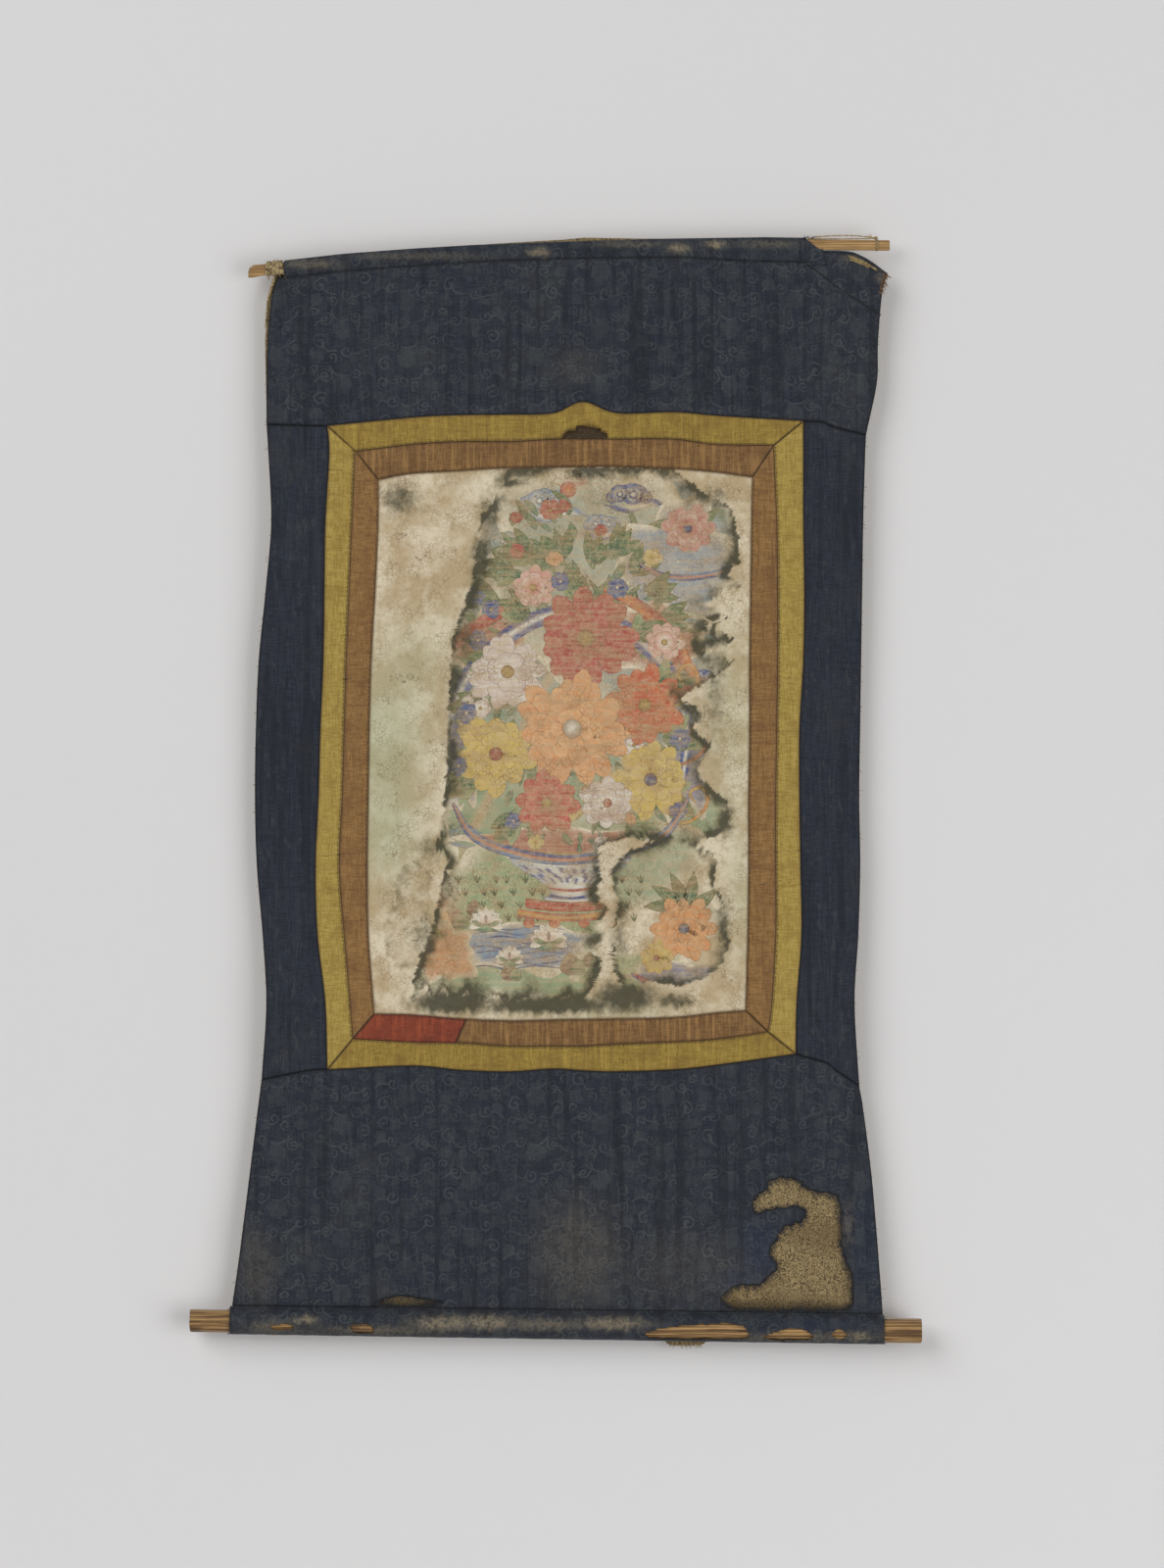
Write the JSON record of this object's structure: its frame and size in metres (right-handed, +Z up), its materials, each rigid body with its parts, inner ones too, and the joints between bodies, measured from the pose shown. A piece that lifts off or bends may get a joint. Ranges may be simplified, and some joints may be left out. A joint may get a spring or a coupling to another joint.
{
  "type": "thangka scroll painting on its stave and roller",
  "caption": "Old hanging scroll painting in gold and brown silk frames on a dark silk mounting, with a cotton lining, a bowed bamboo stave above and a wooden roller below",
  "frame": {"origin": "on the axis of the bamboo stave, above the middle of the picture, where the hanging is held up", "axes": "+Z up, +X to the right of somebody facing the picture, -Y out of the picture towards them, +Y towards the wall"},
  "size_m": [0.7465, 0.0307, 1.1345],
  "materials": {
    "stave": "matte",
    "roller": "matte",
    "lining": "matte",
    "silk": "satin",
    "gold": "satin",
    "brown": "satin",
    "red": "satin",
    "canvas": "matte",
    "string": "matte"
  },
  "bodies": {
    "root": {"stave": "stave", "roller": "roller", "lining": "lining", "silk_top": "silk", "silk_bottom": "silk", "gold_top": "gold", "silk_left": "silk", "silk_right": "silk", "gold_bottom": "gold", "gold_left": "gold", "gold_right": "gold", "brown_top": "brown", "brown_left": "brown", "brown_right": "brown", "brown_bottom": "brown", "red_patch": "red", "picture": "canvas", "lashing": "lining", "hanging_string": "string"}
  },
  "joints": []
}
